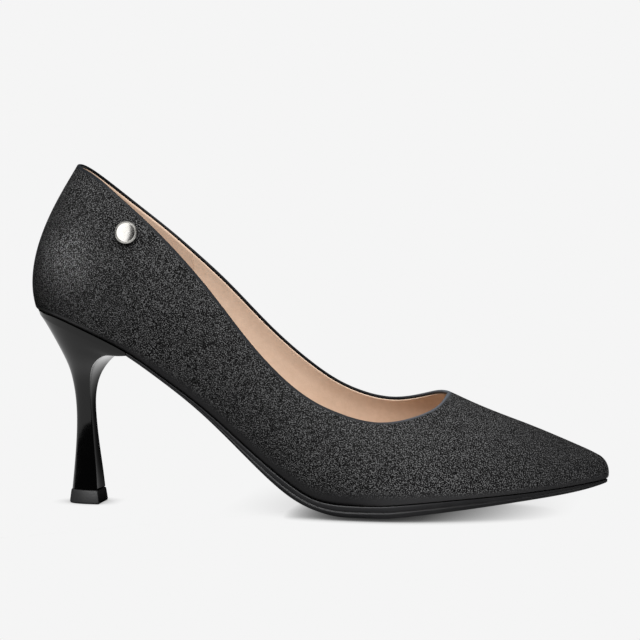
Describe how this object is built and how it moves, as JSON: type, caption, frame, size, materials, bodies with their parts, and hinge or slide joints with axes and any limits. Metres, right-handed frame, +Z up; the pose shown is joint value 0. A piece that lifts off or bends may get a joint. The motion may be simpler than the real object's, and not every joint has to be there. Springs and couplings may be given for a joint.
{
  "type": "court shoe",
  "caption": "Pointed low-cut court shoe for the right foot: hollow leather upper with a tan lining, thin curved sole, slim flared heel with a top piece and a plain round stud.",
  "frame": {"origin": "bottom centre of the whole shoe's box, on the floor", "axes": "+X towards the toe, +Y towards the inner (medial) side, +Z up"},
  "size_m": [0.2514, 0.0736, 0.1478],
  "materials": {
    "upper": "black, fine pebbled grain, low sheen",
    "insole": "smooth tan",
    "outsole": "black, semi-matte edge",
    "heel": "black lacquer",
    "heel_tip": "satin dark grey",
    "stud": "polished"
  },
  "bodies": {
    "root": {"upper": "upper", "insole": "insole", "outsole": "outsole", "heel": "heel", "heel_tip": "heel_tip", "stud": "stud"}
  },
  "joints": []
}
